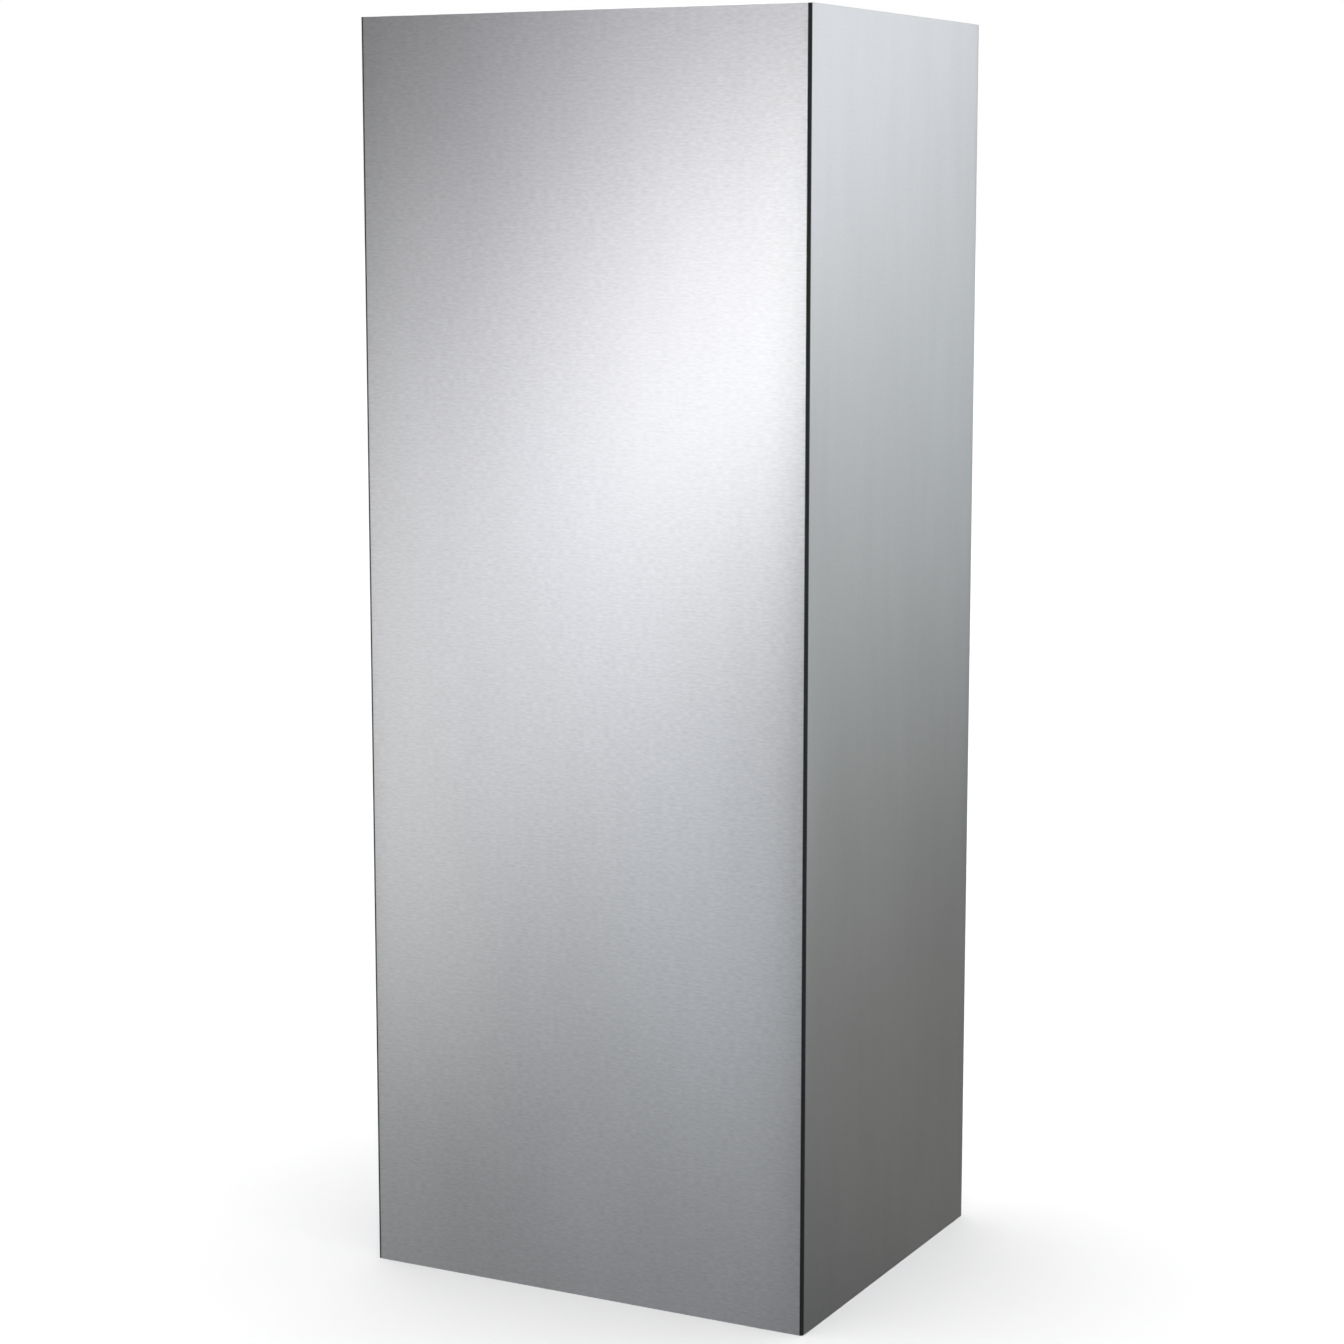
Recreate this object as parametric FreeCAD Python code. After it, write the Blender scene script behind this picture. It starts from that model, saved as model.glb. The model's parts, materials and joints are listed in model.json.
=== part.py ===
"""Chimney section of a wall-mounted cooker hood.

One brushed steel sheet is folded to a channel: a front, two sides, and a return along each rear edge that
lies against the wall. The back and both ends are open, so that the duct runs up inside. Each return is
slotted near its ends for the screws of the wall bracket, and the corners of its free edge are clipped.

Millimetres. +Z is up and -Y is the front. The origin is on the base plane, at the middle of the footprint.
"""

import math
import os

import FreeCAD
import Part

# Outside of the folded section
WIDTH = 308.0
DEPTH = 258.0
HEIGHT = 800.0

# Sheet, and the inside radius of its folds
SHEET = 0.8
BEND_RADIUS = 1.0

# Returns along the rear edges, each with its two free corners clipped at 45 degrees
RETURN_WIDTH = 24.0
RETURN_CLIP = 10.0

# Upright slots for the bracket screws, in the middle of each return's flat
SLOT_WIDTH = 4.5
SLOT_LENGTH = 14.0
SLOT_TO_END = 45.0

# How far a cutting tool stands out of the sheet
OVERRUN = 2.0

# Places that follow from the sizes
SIDE_FACE = WIDTH / 2
WALL_FACE = DEPTH / 2
OUTER_BEND_RADIUS = BEND_RADIUS + SHEET
RETURN_EDGE = SIDE_FACE - RETURN_WIDTH
RETURN_MIDDLE = (RETURN_EDGE + SIDE_FACE - OUTER_BEND_RADIUS) / 2
CUT_START = WALL_FACE - SHEET - OVERRUN
CUT_DEPTH = SHEET + 2 * OVERRUN

Vector = FreeCAD.Vector
UP = Vector(0, 0, 1)
TO_RIGHT = Vector(1, 0, 0)
TO_WALL = Vector(0, 1, 0)
CENTRE = Vector(0, 0, 0)


def folded_line(corners, radius):
    """An open wire from the first corner to the last, with every fold between them rounded."""
    edges = []
    start = corners[0]
    for before, corner, after in zip(corners, corners[1:], corners[2:]):
        arriving = (corner - before).normalize()
        leaving = (after - corner).normalize()
        half_turn = arriving.getAngle(leaving) / 2
        setback = radius * math.tan(half_turn)
        bend_start = corner - arriving * setback
        bend_end = corner + leaving * setback
        inwards = (leaving - arriving).normalize()
        bend_middle = corner + inwards * (radius / math.cos(half_turn) - radius)
        edges.append(Part.LineSegment(start, bend_start).toShape())
        edges.append(Part.Arc(bend_start, bend_middle, bend_end).toShape())
        start = bend_end
    edges.append(Part.LineSegment(start, corners[-1]).toShape())
    return Part.Wire(edges)


def folded_sheet():
    """The channel before its returns are cut: the outer line of the section, thickened inwards and drawn up."""
    right_half = [
        Vector(SIDE_FACE, -WALL_FACE, 0),
        Vector(SIDE_FACE, WALL_FACE, 0),
        Vector(RETURN_EDGE, WALL_FACE, 0),
    ]
    left_half = [Vector(-corner.x, corner.y, 0) for corner in reversed(right_half)]
    outer_line = folded_line(left_half + right_half, OUTER_BEND_RADIUS)
    section = outer_line.makeOffset2D(-SHEET, fill=True, openResult=True)
    return section.extrude(UP * HEIGHT)


def punched(outline):
    """A cutting tool through the returns, from an outline drawn at the tool's front end."""
    return Part.Face(outline).extrude(TO_WALL * CUT_DEPTH)


def bracket_slot(height):
    """The tool for one upright slot of the right-hand return, centred at a height."""
    radius = SLOT_WIDTH / 2
    half_straight = SLOT_LENGTH / 2 - radius
    middle = Vector(RETURN_MIDDLE, CUT_START, height)
    across = TO_RIGHT * radius
    top = middle + UP * half_straight
    bottom = middle - UP * half_straight
    outline = Part.Wire([
        Part.LineSegment(bottom + across, top + across).toShape(),
        Part.Arc(top + across, top + UP * radius, top - across).toShape(),
        Part.LineSegment(top - across, bottom - across).toShape(),
        Part.Arc(bottom - across, bottom - UP * radius, bottom + across).toShape(),
    ])
    return punched(outline)


def corner_clip(end_height, inwards):
    """The tool for one clipped corner of the right-hand return; inwards is +1 at the base and -1 at the top."""
    leg = RETURN_CLIP + 2 * OVERRUN
    corner = Vector(RETURN_EDGE - OVERRUN, CUT_START, end_height - inwards * OVERRUN)
    outline = Part.makePolygon([
        corner,
        corner + TO_RIGHT * leg,
        corner + UP * inwards * leg,
        corner,
    ])
    return punched(outline)


def chimney_casing():
    """The finished section."""
    right_cuts = [
        bracket_slot(SLOT_TO_END),
        bracket_slot(HEIGHT - SLOT_TO_END),
        corner_clip(0, 1),
        corner_clip(HEIGHT, -1),
    ]
    left_cuts = [tool.mirror(CENTRE, TO_RIGHT) for tool in right_cuts]
    return folded_sheet().cut(right_cuts + left_cuts)


def main():
    os.makedirs("parts", exist_ok=True)
    casing = chimney_casing()
    casing.exportStep("parts/chimney_casing.step")
    flat_length = casing.Volume / (SHEET * HEIGHT)
    print(f"chimney_casing: {casing.ShapeType}, valid {casing.isValid()}, {casing.Volume:.0f} mm3, "
          f"sheet about {flat_length:.0f} x {HEIGHT:.0f} mm")


main()
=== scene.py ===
"""Looks of a cooker hood's chimney section: the folded sheet with its brushed finish, and a studio round it.

Metres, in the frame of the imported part: +Z is up, -Y is the front, the origin is the footprint's middle.
"""

import json
import math

import bpy
from mathutils import Matrix, Vector

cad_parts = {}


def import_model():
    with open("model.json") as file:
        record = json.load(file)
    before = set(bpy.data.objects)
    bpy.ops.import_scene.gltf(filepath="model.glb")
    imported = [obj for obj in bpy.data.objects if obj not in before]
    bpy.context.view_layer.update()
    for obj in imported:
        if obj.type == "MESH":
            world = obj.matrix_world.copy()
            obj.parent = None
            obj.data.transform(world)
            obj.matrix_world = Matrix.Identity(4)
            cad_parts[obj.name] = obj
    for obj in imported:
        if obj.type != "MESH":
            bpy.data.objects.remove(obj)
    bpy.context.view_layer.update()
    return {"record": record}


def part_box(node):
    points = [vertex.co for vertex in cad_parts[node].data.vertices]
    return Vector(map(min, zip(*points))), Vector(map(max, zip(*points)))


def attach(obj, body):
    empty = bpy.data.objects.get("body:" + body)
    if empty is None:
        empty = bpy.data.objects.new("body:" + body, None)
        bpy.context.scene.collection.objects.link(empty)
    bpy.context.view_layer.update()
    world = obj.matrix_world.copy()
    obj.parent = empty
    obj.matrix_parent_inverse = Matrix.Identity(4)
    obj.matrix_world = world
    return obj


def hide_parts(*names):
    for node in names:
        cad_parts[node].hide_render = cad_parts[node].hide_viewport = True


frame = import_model()

# Sheet, folds and returns, as the part is made
SHEET = 0.0008
OUTER_BEND_RADIUS = 0.0018
RETURN_WIDTH = 0.024
RETURN_CLIP = 0.010

# Beside a fold the sheet comes flat over a short stretch, because folding bows it a little
FOLD_BOW = math.radians(1.4)
FRONT_BOW_LENGTH = 0.034
REAR_BOW_LENGTH = 0.007

# Chamfer of the deburred cut edges
EDGE_BREAK = 0.00012

# Fineness of the mesh, and the height of the rows round a slot
ARC_STEPS = 14
BOW_STEPS = 8
SLOT_ARC_STEPS = 10
SLOT_FIELD = 0.024

# Values that differ by less than this count as the same
HAIR = 1e-6

# The two places of a point of the flat sheet: where the metal ends, and where its face ends at a broken edge
METAL_END, FACE_END = 0, 1

# Sizes that the frame gives
SIDE_FACE, WALL_FACE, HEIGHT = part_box("chimney_casing")[1]
MOUNTS = {mount["name"]: mount for mount in frame["record"]["mounts"]}
SLOTS = MOUNTS["right_bracket_slots"]
SLOT_RADIUS = SLOTS["dims"]["hole_r_mm"] / 1000
SLOT_LENGTH = SLOTS["dims"]["slot_length_mm"] / 1000
SLOT_SPACING = SLOTS["dims"]["spacing_y_mm"] / 1000
SLOT_HEIGHTS = [SLOTS["pos_m"][2] + side * SLOT_SPACING / 2 for side in (-1, 1)]
RETURN_EDGE = SIDE_FACE - RETURN_WIDTH
SLOT_TO_EDGE = SLOTS["pos_m"][0] - RETURN_EDGE

# Material slots of the sheet
FRONT_SHEET, SIDE_SHEET, INNER_SHEET, CUT_EDGE = 0, 1, 2, 3

# Metal of each kind of surface: its darkest and lightest tones, and its least and most roughness
BRUSHED_TONES = (0.55, 0.561, 0.583), (0.662, 0.675, 0.702)
BRUSHED_ROUGHNESS = 0.29, 0.33
MILL_TONES = (0.62, 0.627, 0.64), (0.68, 0.687, 0.70)
MILL_ROUGHNESS = 0.40, 0.43
CUT_TONES = (0.52, 0.52, 0.53), (0.70, 0.70, 0.71)
CUT_ROUGHNESS = 0.30, 0.50

# Brushing blurs reflections more up the sheet than along it: by how much, and the turn that sets it upright
BRUSH_STRETCH = 0.5
BRUSH_TURN = 0.25

# Painted shade over the folds, which stands in for the dark room that a fold reflects: how dark it is at the
# front and at the returns, and how far past the arc it fades out
FRONT_FOLD_PAINTED_SHADE = 0.92
REAR_FOLD_PAINTED_SHADE = 0.4
FOLD_FADE = 0.0004

# Marks on the metal: how many in a metre along the sheet and up it, and how far they break up
SCRATCHES = 220, 900, 3
STREAKS = 40, 620, 3
BANDS = 60, 8, 2
CLOUDS = 12, 7, 2
MILL_CLOUDS = 26, 9, 4
MILL_SPECKS = 900, 900, 3
SHEAR_MARKS = 700, 700, 3

# Shares of those marks in the tone, the roughness and the relief of a face. The sides show fainter scratches
# than the front, and stronger bands
FRONT_SHARES = {"scratches": 0.63, "streaks": 0.2, "bands": 0.07, "clouds": 0.1}
SIDE_SHARES = {"scratches": 0.22, "streaks": 0.1, "bands": 0.15, "clouds": 0.15}
ROUGHNESS_SHARES = {"scratches": 0.5, "streaks": 0.3, "clouds": 0.2}
RELIEF_SHARES = {"scratches": 0.8, "streaks": 0.2}
MILL_SHARES = {"clouds": 0.6, "specks": 0.4}
FRONT_SCRATCH_DEPTH = 0.000003
SIDE_SCRATCH_DEPTH = 0.000001
SPECK_DEPTH = 0.000006

# Noise values mostly lie between these
NOISE_LOW, NOISE_HIGH = 0.3, 0.7

# Camera at the photograph's viewing angle
CAMERA_PLACE = Vector((0.914, -1.762, 0.686))
CAMERA_HEADING = math.radians(27.5)
CAMERA_DIP = math.radians(8.67)
FOCAL_PIXELS = 3074
IMAGE_PIXELS = 1344
SENSOR_WIDTH = 36.0

# Floor and room
SUN_STRENGTH = 3.7
SUN_SPREAD = math.radians(60)
FLOOR_REACH = 40.0
FLOOR_TONE = 0.88
FLOOR_ROUGHNESS = 0.9
ROOM_TONE = 0.06

# Point that every softbox faces, and how far off those for the front and for the right side are
SOFTBOX_AIM = Vector((0, 0, 0.45))
FRONT_DISTANCE = 2.2
SIDE_DISTANCE = 3.0

# Rise of the softboxes over and under the object: just off the upright, where they would have no bearing
STEEP_RISE = 88

# Tints of light
WHITE = (1, 1, 1)
CREAM = (1.012, 1.006, 0.978)
COOL = (0.945, 0.985, 1.02)
ROSE = (1.065, 0.94, 1.03)
AMBER = (1.03, 1.01, 0.96)
MIST = (0.985, 1, 1.005)
SEA = (0.94, 1.015, 1.015)
STRAW = (1.15, 1.03, 0.85)

# Upright panels round the object, as bearing, width and brightness, and the levels of each panel, as the
# heights between which a level lies and its share of the brightness
PANEL_DISTANCE = 2.6
PANELS = {
    "front_panel": (0, 0.7, 0.7),
    "right_front_panel": (45, 1.1, 0.55),
    "right_panel": (92, 1.2, 0.75),
    "right_rear_panel": (126, 0.7, 0.6),
    "left_front_panel": (-57, 0.9, 1.0),
    "left_panel": (-92, 1.6, 0.85),
    "left_rear_panel": (-138, 1.6, 0.85),
    "rear_panel": (183, 1.2, 1.2),
}
PANEL_LEVELS = {"low": (-1.3, -0.5, 0.7), "middle": (-0.5, 0.2, 0.9), "high": (0.2, 1.5, 1.3)}

# Slanting strips that put a highlight on each side in other views, as bearing and brightness
STRIPS = {
    "front_strip": (-1, 2.5),
    "right_front_strip": (49, 2.0),
    "right_strip": (97, 3.0),
    "left_strip": (-85, 3.0),
    "left_rear_strip": (-130, 3.0),
}
STRIP_RISE = -6
STRIP_DISTANCE = 2.2
STRIP_SIZE = 0.15, 0.64
STRIP_TILT = -37


# Folded sheet

def fold_steps(bow_length):
    """One fold as short steps along the sheet, each a length and a turn: bow, arc, bow."""
    places = [bow_length * step / BOW_STEPS for step in range(BOW_STEPS)]
    places += [bow_length - FOLD_FADE, bow_length]
    bow = []
    for start, end in zip(places, places[1:]):
        bow.append((end - start, FOLD_BOW * (end ** 2 - start ** 2) / bow_length ** 2))
    arc_turn = (math.pi / 2 - 2 * FOLD_BOW) / ARC_STEPS
    arc = [(OUTER_BEND_RADIUS * arc_turn, arc_turn)] * ARC_STEPS
    return bow + arc + bow[::-1]


def walk(steps, x, y, heading):
    """The columns of the sheet along some steps: distance along the sheet, place in plan, and heading."""
    distance = 0.0
    columns = [(distance, x, y, heading)]
    for length, turn in steps:
        chord = length if turn == 0 else length * math.sin(turn / 2) / (turn / 2)
        x += chord * math.cos(heading + turn / 2)
        y += chord * math.sin(heading + turn / 2)
        heading += turn
        distance += length
        columns.append((distance, x, y, heading))
    return columns


def sheet_columns():
    """Columns of the whole sheet, from the free edge of the left return round to that of the right one."""
    front_fold = fold_steps(FRONT_BOW_LENGTH)
    rear_fold = fold_steps(REAR_BOW_LENGTH)
    front_reach = walk(front_fold, 0, 0, 0)[-1][1]
    rear_reach = walk(rear_fold, 0, 0, 0)[-1][1]
    slot_to_fold = RETURN_WIDTH - rear_reach - SLOT_TO_EDGE
    side = [(2 * WALL_FACE - front_reach - rear_reach, 0.0)]
    front = [(2 * SIDE_FACE - 2 * front_reach, 0.0)]
    left_return = [(SLOT_TO_EDGE, 0.0), (slot_to_fold, 0.0)]
    left_half = left_return + rear_fold + side + front_fold
    steps = left_half + front + left_half[::-1]
    return walk(steps, -RETURN_EDGE, WALL_FACE, math.pi)


def sheet_rows():
    """Heights of the rows of the sheet: its ends, the clipped corners, and the field round each slot."""
    rows = {0.0, HEIGHT, RETURN_CLIP, HEIGHT - RETURN_CLIP}
    for height in SLOT_HEIGHTS:
        rows.update((height - SLOT_FIELD / 2, height + SLOT_FIELD / 2))
    return sorted(rows)


def inward(index, last):
    """The way inwards from a place in a row of places: 1 at the first, -1 at the last, 0 between."""
    return (index == 0) - (index == last)


class Blank:
    """The flat sheet before it is folded, as points and faces.

    Each of a point's two places is a distance along the sheet and a height. They differ only round the edge.
    """

    def __init__(self, columns, rows):
        self.points = []
        self.faces = []
        self.distances = [column[0] for column in columns]
        self.rows = rows
        self.grid = [[self.add_grid_point(i, j) for j in range(len(rows))] for i in range(len(columns))]
        self.add_faces()

    def add_point(self, metal_end, face_end):
        """Adds a point by its two places, and gives its number."""
        self.points.append((metal_end, face_end))
        return len(self.points) - 1

    def add_grid_point(self, i, j):
        """A point of the grid; the four corners move along the ends, to the start of their clips."""
        last_i, last_j = len(self.distances) - 1, len(self.rows) - 1
        s, z = self.distances[i], self.rows[j]
        along = inward(i, last_i)
        upward = inward(j, last_j)
        along_break = EDGE_BREAK
        upward_break = EDGE_BREAK
        # How far the broken edge draws in along the next one, where they meet at 45 degrees
        mitre = EDGE_BREAK * math.tan(math.pi / 8)
        if along and upward:
            s += along * RETURN_CLIP
            along_break = mitre
        elif along and j in (1, last_j - 1):
            upward = inward(j - 1, last_j - 2)
            upward_break = mitre
        return self.add_point((s, z), (s + along * along_break, z + upward * upward_break))

    def add_faces(self):
        """Quads over the grid. In the row of a slot, the two cells of each return become faces round it."""
        last = len(self.distances) - 1
        for j in range(len(self.rows) - 1):
            slot = [height for height in SLOT_HEIGHTS if self.rows[j] < height < self.rows[j + 1]]
            for i in range(last):
                if slot and i in (0, last - 2):
                    self.add_slot(i, j, slot[0])
                elif not slot or i not in (1, last - 1):
                    self.faces.append(self.cell(i, j))

    def cell(self, i, j):
        """The corners of one cell of the grid, anticlockwise from the lower left."""
        grid = self.grid
        return [grid[i][j], grid[i + 1][j], grid[i + 1][j + 1], grid[i][j + 1]]

    def slot_ring(self, middle, height):
        """Points round a slot, anticlockwise from its lowest point."""
        straight = SLOT_LENGTH / 2 - SLOT_RADIUS
        ring = []
        for quarter, centre_side in enumerate((-1, 1, 1, -1)):
            # The upper two quarters share the highest point, and the lower two the lowest
            first = 1 if quarter == 2 else 0
            last = SLOT_ARC_STEPS - 1 if quarter == 3 else SLOT_ARC_STEPS
            for step in range(first, last + 1):
                angle = (quarter - 1 + step / SLOT_ARC_STEPS) * math.pi / 2
                centre = height + centre_side * straight
                places = []
                for radius in (SLOT_RADIUS, SLOT_RADIUS + EDGE_BREAK):
                    places.append((middle + radius * math.cos(angle), centre + radius * math.sin(angle)))
                ring.append(self.add_point(*places))
        return ring

    def add_slot(self, i, j, height):
        """A slot on the line between two cells of a row, with a face on each side of it."""
        ring = self.slot_ring(self.distances[i + 1], height)
        highest = 2 * SLOT_ARC_STEPS + 1
        right_side = ring[:highest + 1]
        left_side = ring[highest:] + ring[:1]
        a, b, c, d = self.cell(i, j)
        self.faces.append([a, b] + left_side[::-1] + [c, d])
        a, b, c, d = self.cell(i + 1, j)
        self.faces.append([a, b, c, d] + right_side[::-1])

    def edges(self):
        """The edges of the metal: those with a face on one side only."""
        sides = set()
        for face in self.faces:
            sides.update(zip(face, face[1:] + face[:1]))
        return sorted(side for side in sides if side[::-1] not in sides)


def folded_place(columns, s, z, depth):
    """Where a point of the sheet lies, some depth under its outer face, and the outward direction there."""
    after = next(i for i, column in enumerate(columns) if column[0] >= s - HAIR)
    after = max(after, 1)
    s0, x0, y0, heading0 = columns[after - 1]
    s1, x1, y1, heading1 = columns[after]
    share = (s - s0) / (s1 - s0)
    heading = heading0 + share * (heading1 - heading0)
    outward = Vector((math.sin(heading), -math.cos(heading), 0))
    place = Vector((x0 + share * (x1 - x0), y0 + share * (y1 - y0), z))
    return place - outward * depth, outward


def casing_mesh():
    """The folded sheet as one closed mesh: outer face, inner face, and the cut edges with their chamfers."""
    columns = sheet_columns()
    blank = Blank(columns, sheet_rows())
    vertices = []
    outwards = []
    layers = []
    edge_depths = (0, FACE_END), (EDGE_BREAK, METAL_END), (SHEET - EDGE_BREAK, METAL_END), (SHEET, FACE_END)
    for depth, end in edge_depths:
        layers.append(len(vertices))
        for point in blank.points:
            place, outward = folded_place(columns, *point[end], depth)
            vertices.append(place)
            outwards.append(outward)
    outer, outer_edge, inner_edge, inner = layers
    faces = [[outer + point for point in face] for face in blank.faces]
    slots = []
    for face in faces:
        facing = sum((outwards[point] for point in face), Vector())
        slots.append(FRONT_SHEET if -facing.y > abs(facing.x) else SIDE_SHEET)
    faces += [[inner + point for point in reversed(face)] for face in blank.faces]
    slots += [INNER_SHEET] * len(blank.faces)
    for first, second in blank.edges():
        for near, far in ((outer, outer_edge), (outer_edge, inner_edge), (inner_edge, inner)):
            faces.append([near + second, near + first, far + first, far + second])
            slots.append(CUT_EDGE)
    mesh = bpy.data.meshes.new("casing_sheet")
    mesh.from_pydata(vertices, [], faces)
    return mesh, blank, outwards, slots


def mark_painted_fold_shade(mesh, outwards):
    """A painted shade on each point of the mesh: that of its fold on the arc of a fold, 0 elsewhere."""
    shades = mesh.attributes.new("fold_shade", "FLOAT", "POINT")
    arc_start = math.sin(FOLD_BOW) - HAIR
    for vertex, shade, outward in zip(mesh.vertices, shades.data, outwards):
        if min(abs(outward.x), abs(outward.y)) < arc_start:
            shade.value = 0.0
        elif vertex.co.y < 0:
            shade.value = FRONT_FOLD_PAINTED_SHADE
        else:
            shade.value = REAR_FOLD_PAINTED_SHADE


def finish_mesh(mesh, blank, outwards, slots):
    """Material slots, a map of the flat sheet in metres, and exact normals over the folds."""
    count = len(blank.points)
    flat = mesh.uv_layers.new(name="flat_sheet")
    normals = []
    for polygon in mesh.polygons:
        polygon.material_index = slots[polygon.index]
        polygon.use_smooth = True
        side = {INNER_SHEET: -1, CUT_EDGE: 0}.get(polygon.material_index, 1)
        for loop in polygon.loop_indices:
            vertex = mesh.loops[loop].vertex_index
            flat.data[loop].uv = blank.points[vertex % count][METAL_END]
            normals.append(outwards[vertex] * side if side else polygon.normal.copy())
    mesh.normals_split_custom_set(normals)
    mesh.validate()


# Materials

def new_material(name):
    """A metal, with its node tree and its shader."""
    material = bpy.data.materials.new(name)
    material.use_nodes = True
    tree = material.node_tree
    shader = tree.nodes["Principled BSDF"]
    shader.inputs["Metallic"].default_value = 1.0
    return material, tree, shader


def flat_noise(tree, along, up, detail):
    """Noise over the flat sheet, with that many features in a metre along it and up it."""
    uv = tree.nodes.new("ShaderNodeUVMap")
    uv.uv_map = "flat_sheet"
    scaled = tree.nodes.new("ShaderNodeVectorMath")
    scaled.operation = "MULTIPLY"
    scaled.inputs[1].default_value = (along, up, 1)
    noise = tree.nodes.new("ShaderNodeTexNoise")
    noise.noise_dimensions = "2D"
    noise.inputs["Scale"].default_value = 1.0
    noise.inputs["Detail"].default_value = detail
    tree.links.new(uv.outputs["UV"], scaled.inputs[0])
    tree.links.new(scaled.outputs["Vector"], noise.inputs["Vector"])
    return noise.outputs["Fac"]


def mixed(tree, marks, shares):
    """The sum of some marks, each times its share; shares short of 1 keep it nearer the middle."""
    total = None
    for name, share in shares.items():
        term = tree.nodes.new("ShaderNodeMath")
        term.operation = "MULTIPLY_ADD"
        term.inputs[1].default_value = share
        term.inputs[2].default_value = (1 - sum(shares.values())) / 2
        tree.links.new(marks[name], term.inputs[0])
        if total is not None:
            tree.links.new(total, term.inputs[2])
        total = term.outputs[0]
    return total


def roughness_between(tree, shader, value, least, most):
    """Roughness from a noise value, which keeps near the middle of its range."""
    span = tree.nodes.new("ShaderNodeMapRange")
    span.inputs["From Min"].default_value = NOISE_LOW
    span.inputs["From Max"].default_value = NOISE_HIGH
    span.inputs["To Min"].default_value = least
    span.inputs["To Max"].default_value = most
    tree.links.new(value, span.inputs["Value"])
    tree.links.new(span.outputs["Result"], shader.inputs["Roughness"])


def tone_between(tree, value, dark, light):
    """A colour from a noise value, which keeps near the middle of its range."""
    ramp = tree.nodes.new("ShaderNodeValToRGB")
    ramp.color_ramp.elements[0].position = NOISE_LOW
    ramp.color_ramp.elements[0].color = (*dark, 1)
    ramp.color_ramp.elements[1].position = NOISE_HIGH
    ramp.color_ramp.elements[1].color = (*light, 1)
    tree.links.new(value, ramp.inputs["Fac"])
    return ramp.outputs["Color"]


def with_painted_fold_shade(tree, colour):
    """A colour with painted shade over the folds of the sheet, for the dark that a fold reflects."""
    fold = tree.nodes.new("ShaderNodeAttribute")
    fold.attribute_name = "fold_shade"
    darker = tree.nodes.new("ShaderNodeMix")
    darker.data_type = "RGBA"
    darker.inputs["B"].default_value = (0, 0, 0, 1)
    tree.links.new(fold.outputs["Fac"], darker.inputs["Factor"])
    tree.links.new(colour, darker.inputs["A"])
    return darker.outputs["Result"]


def relief(tree, shader, height, depth):
    """Bumps of some depth from a noise value."""
    bump = tree.nodes.new("ShaderNodeBump")
    bump.inputs["Strength"].default_value = 1.0
    bump.inputs["Distance"].default_value = depth
    tree.links.new(height, bump.inputs["Height"])
    tree.links.new(bump.outputs["Normal"], shader.inputs["Normal"])


def brushed_steel(name, tone_shares, scratch_depth):
    """Outer face: short level scratches, longer streaks among them, and faint upright bands from rolling."""
    material, tree, shader = new_material(name)
    marks = {
        "scratches": flat_noise(tree, *SCRATCHES),
        "streaks": flat_noise(tree, *STREAKS),
        "bands": flat_noise(tree, *BANDS),
        "clouds": flat_noise(tree, *CLOUDS),
    }
    tone = tone_between(tree, mixed(tree, marks, tone_shares), *BRUSHED_TONES)
    # The tone gets painted shade over the folds
    tree.links.new(with_painted_fold_shade(tree, tone), shader.inputs["Base Color"])
    roughness_between(tree, shader, mixed(tree, marks, ROUGHNESS_SHARES), *BRUSHED_ROUGHNESS)
    relief(tree, shader, mixed(tree, marks, RELIEF_SHARES), scratch_depth)
    shader.inputs["Anisotropic"].default_value = BRUSH_STRETCH
    shader.inputs["Anisotropic Rotation"].default_value = BRUSH_TURN
    tangent = tree.nodes.new("ShaderNodeTangent")
    tangent.direction_type = "UV_MAP"
    tangent.uv_map = "flat_sheet"
    tree.links.new(tangent.outputs["Tangent"], shader.inputs["Tangent"])
    return material


def mill_steel():
    """Inner face: the sheet as it comes from the mill, dull and faintly clouded."""
    material, tree, shader = new_material("mill_steel")
    marks = {
        "clouds": flat_noise(tree, *MILL_CLOUDS),
        "specks": flat_noise(tree, *MILL_SPECKS),
    }
    tone = tone_between(tree, mixed(tree, marks, MILL_SHARES), *MILL_TONES)
    tree.links.new(tone, shader.inputs["Base Color"])
    roughness_between(tree, shader, marks["clouds"], *MILL_ROUGHNESS)
    relief(tree, shader, marks["specks"], SPECK_DEPTH)
    return material


def cut_steel():
    """Edges: bright where they were sheared, with marks across the sheet."""
    material, tree, shader = new_material("cut_steel")
    marks = flat_noise(tree, *SHEAR_MARKS)
    tree.links.new(tone_between(tree, marks, *CUT_TONES), shader.inputs["Base Color"])
    roughness_between(tree, shader, marks, *CUT_ROUGHNESS)
    return material


def casing():
    """The chimney section in place of its plain solid."""
    mesh, blank, outwards, slots = casing_mesh()
    mesh.materials.append(brushed_steel("brushed_front", FRONT_SHARES, FRONT_SCRATCH_DEPTH))
    mesh.materials.append(brushed_steel("brushed_sides", SIDE_SHARES, SIDE_SCRATCH_DEPTH))
    mesh.materials.append(mill_steel())
    mesh.materials.append(cut_steel())
    # Painted shade over the folds, read by the brushed materials
    mark_painted_fold_shade(mesh, outwards)
    finish_mesh(mesh, blank, outwards, slots)
    sheet = bpy.data.objects.new("casing_sheet", mesh)
    bpy.context.scene.collection.objects.link(sheet)
    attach(sheet, "root")
    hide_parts("chimney_casing")


# Studio

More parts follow.
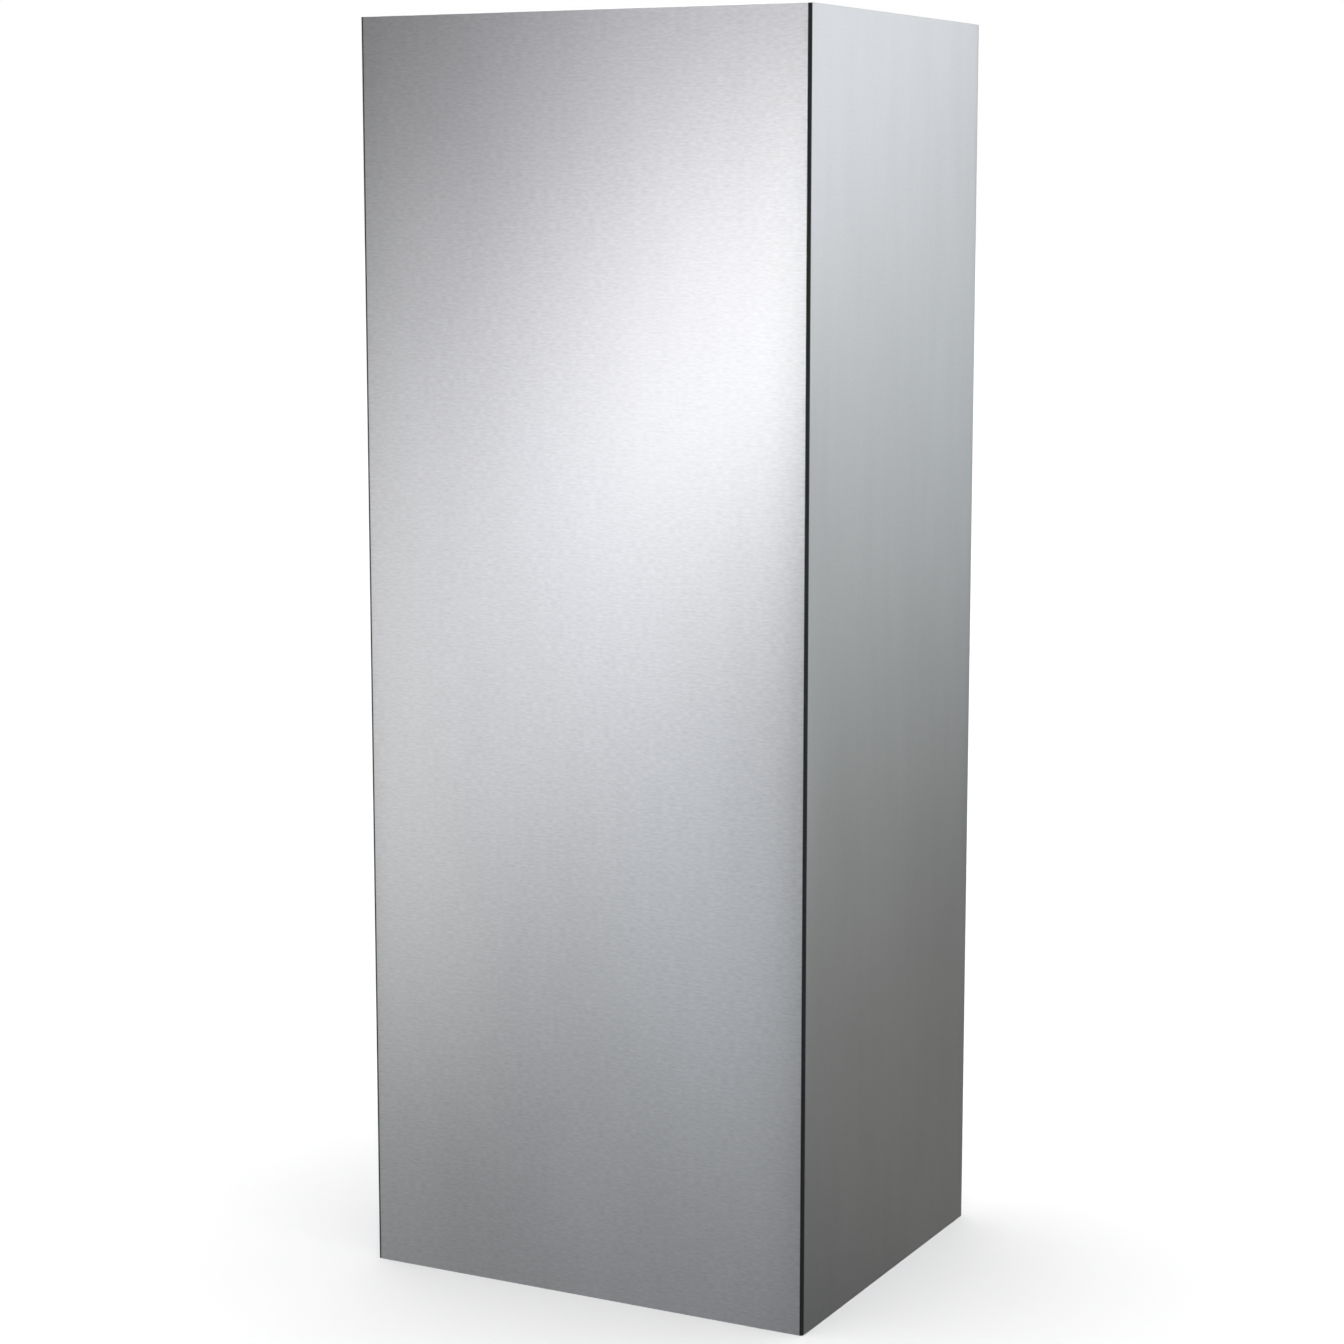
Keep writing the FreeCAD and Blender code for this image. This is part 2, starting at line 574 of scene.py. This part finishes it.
def softbox(name, bearing, rise, distance, size, brightness, tilt=0, tint=WHITE):
    """A rectangle of light that faces the object and shows in its reflections only.

    The bearing is from the front towards the right, the rise is above the horizon, and angles are in degrees.
    """
    bearing, rise, tilt = (math.radians(angle) for angle in (bearing, rise, tilt))
    towards = Vector((
        math.sin(bearing) * math.cos(rise),
        -math.cos(bearing) * math.cos(rise),
        math.sin(rise),
    ))
    right = Vector((0, 0, 1)).cross(towards).normalized()
    upright = Matrix((right, towards.cross(right), towards)).transposed()
    width, height = size
    light = bpy.data.lights.new(name, "AREA")
    light.shape = "RECTANGLE"
    light.size = width
    light.size_y = height
    light.energy = math.pi * brightness * width * height
    light.color = tint
    box = bpy.data.objects.new(name, light)
    box.location = SOFTBOX_AIM + towards * distance
    box.rotation_euler = (upright @ Matrix.Rotation(tilt, 3, "Z")).to_euler()
    box.visible_camera = False
    box.visible_diffuse = False
    bpy.context.scene.collection.objects.link(box)


def front_lights():
    """A slanting highlight on the front, and softer light that falls off towards its ends."""
    softbox("key_strip", bearing=-20, rise=3, distance=FRONT_DISTANCE, size=(0.11, 0.56),
            brightness=12.1, tilt=-52, tint=CREAM)
    softbox("low_fill", bearing=-25.5, rise=-11.3, distance=FRONT_DISTANCE, size=(1.07, 0.2),
            brightness=1.7, tilt=-67, tint=COOL)
    softbox("high_slope", bearing=-23.5, rise=12.5, distance=FRONT_DISTANCE, size=(1.83, 0.25),
            brightness=0.66, tilt=71, tint=ROSE)
    softbox("low_strip", bearing=-36, rise=-9.7, distance=FRONT_DISTANCE, size=(0.13, 0.91),
            brightness=3, tilt=11, tint=AMBER)


def side_lights():
    """Light behind the object for the right side, which falls off downwards."""
    softbox("rear_key", bearing=149.5, rise=10, distance=SIDE_DISTANCE, size=(0.8, 1.03),
            brightness=1.5, tilt=-41, tint=MIST)
    softbox("rear_slope", bearing=148.5, rise=-7.5, distance=SIDE_DISTANCE, size=(1.9, 0.53),
            brightness=0.6, tilt=37, tint=SEA)
    softbox("rear_low", bearing=151, rise=-13, distance=SIDE_DISTANCE, size=(0.45, 1.5),
            brightness=0.16, tilt=8, tint=STRAW)


def room_lights():
    """Floor and ceiling, panels round the object that are dimmer near the floor, and strips before some."""
    softbox("floor_bounce", bearing=0, rise=-STEEP_RISE, distance=1.9, size=(3.7, 3.7), brightness=0.65)
    softbox("ceiling", bearing=0, rise=STEEP_RISE, distance=2.2, size=(2.4, 2.4), brightness=0.8)
    for side, (bearing, width, brightness) in PANELS.items():
        for level, (low, high, share) in PANEL_LEVELS.items():
            lift = (low + high) / 2 - SOFTBOX_AIM.z
            rise = math.degrees(math.atan2(lift, PANEL_DISTANCE))
            distance = math.hypot(lift, PANEL_DISTANCE)
            softbox(f"{side}_{level}", bearing, rise, distance, (width, high - low), share * brightness)
    for name, (bearing, brightness) in STRIPS.items():
        softbox(name, bearing, STRIP_RISE, STRIP_DISTANCE, STRIP_SIZE, brightness, STRIP_TILT)


def overhead_light():
    """A broad soft light from above, for the floor."""
    light = bpy.data.lights.new("overhead", "SUN")
    light.energy = SUN_STRENGTH
    light.angle = SUN_SPREAD
    lamp = bpy.data.objects.new("overhead", light)
    bpy.context.scene.collection.objects.link(lamp)


def floor():
    """A plain pale floor, which the metal doesn't show."""
    mesh = bpy.data.meshes.new("floor")
    corners = [(-FLOOR_REACH, -FLOOR_REACH, 0), (FLOOR_REACH, -FLOOR_REACH, 0)]
    corners += [(-x, -y, z) for x, y, z in corners]
    mesh.from_pydata(corners, [], [(0, 1, 2, 3)])
    material = bpy.data.materials.new("floor_paint")
    material.use_nodes = True
    shader = material.node_tree.nodes["Principled BSDF"]
    shader.inputs["Base Color"].default_value = (FLOOR_TONE, FLOOR_TONE, FLOOR_TONE, 1)
    shader.inputs["Roughness"].default_value = FLOOR_ROUGHNESS
    shader.inputs["Specular IOR Level"].default_value = 0.0
    mesh.materials.append(material)
    ground = bpy.data.objects.new("floor", mesh)
    ground.visible_glossy = False
    ground.visible_shadow = False
    bpy.context.scene.collection.objects.link(ground)


def world():
    """A dim room for the metal to show, and white behind the floor for the camera."""
    studio = bpy.data.worlds.new("studio")
    studio.use_nodes = True
    tree = studio.node_tree
    room = tree.nodes["Background"]
    room.inputs["Color"].default_value = (ROOM_TONE, ROOM_TONE, ROOM_TONE, 1)
    backdrop = tree.nodes.new("ShaderNodeBackground")
    backdrop.inputs["Color"].default_value = (*WHITE, 1)
    path = tree.nodes.new("ShaderNodeLightPath")
    mix = tree.nodes.new("ShaderNodeMixShader")
    tree.links.new(path.outputs["Is Camera Ray"], mix.inputs["Fac"])
    tree.links.new(room.outputs["Background"], mix.inputs[1])
    tree.links.new(backdrop.outputs["Background"], mix.inputs[2])
    tree.links.new(mix.outputs["Shader"], tree.nodes["World Output"].inputs["Surface"])
    bpy.context.scene.world = studio


def camera():
    """A camera without lens shift or blur."""
    lens = bpy.data.cameras.new("camera")
    lens.sensor_width = SENSOR_WIDTH
    lens.lens = FOCAL_PIXELS / IMAGE_PIXELS * SENSOR_WIDTH
    viewer = bpy.data.objects.new("camera", lens)
    viewer.location = CAMERA_PLACE
    viewer.rotation_euler = (math.pi / 2 - CAMERA_DIP, 0, CAMERA_HEADING)
    bpy.context.scene.collection.objects.link(viewer)
    bpy.context.scene.camera = viewer


casing()
front_lights()
side_lights()
room_lights()
overhead_light()
floor()
world()
camera()
bpy.context.scene.view_settings.view_transform = "Standard"
